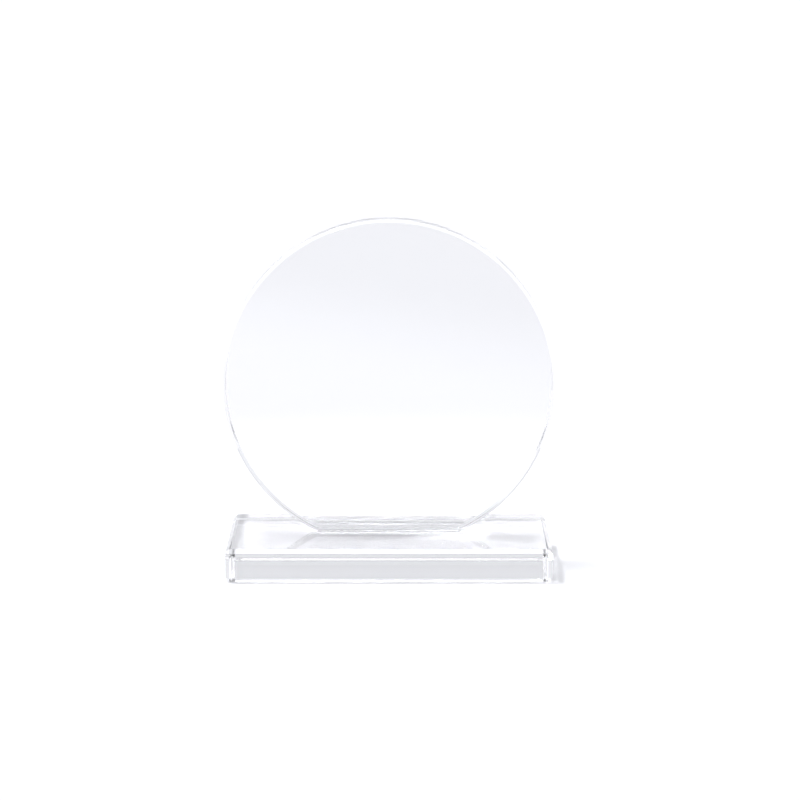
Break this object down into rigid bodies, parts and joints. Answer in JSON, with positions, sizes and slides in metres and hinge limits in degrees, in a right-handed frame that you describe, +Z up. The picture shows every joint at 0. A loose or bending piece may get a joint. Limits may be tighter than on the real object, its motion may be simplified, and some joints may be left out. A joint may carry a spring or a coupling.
{
  "type": "clear glass disc on a base",
  "caption": "Round clear glass plate with a short flat at its bottom, bonded upright on a bevelled rectangular clear glass base.",
  "frame": {"origin": "the middle of the base's underside, on the surface the object stands on", "axes": "+Z up through the disc; X along the base's width; the disc's front face looks along -Y"},
  "size_m": [0.2, 0.1, 0.2108],
  "materials": {
    "disc_glass": "polished, clear",
    "base_glass": "polished, clear, with polished bevels",
    "clear_adhesive": "cured clear adhesive, glossy"
  },
  "bodies": {
    "root": {"glass_disc": "disc_glass", "base_block": "base_glass", "adhesive_film": "clear_adhesive"}
  },
  "joints": []
}
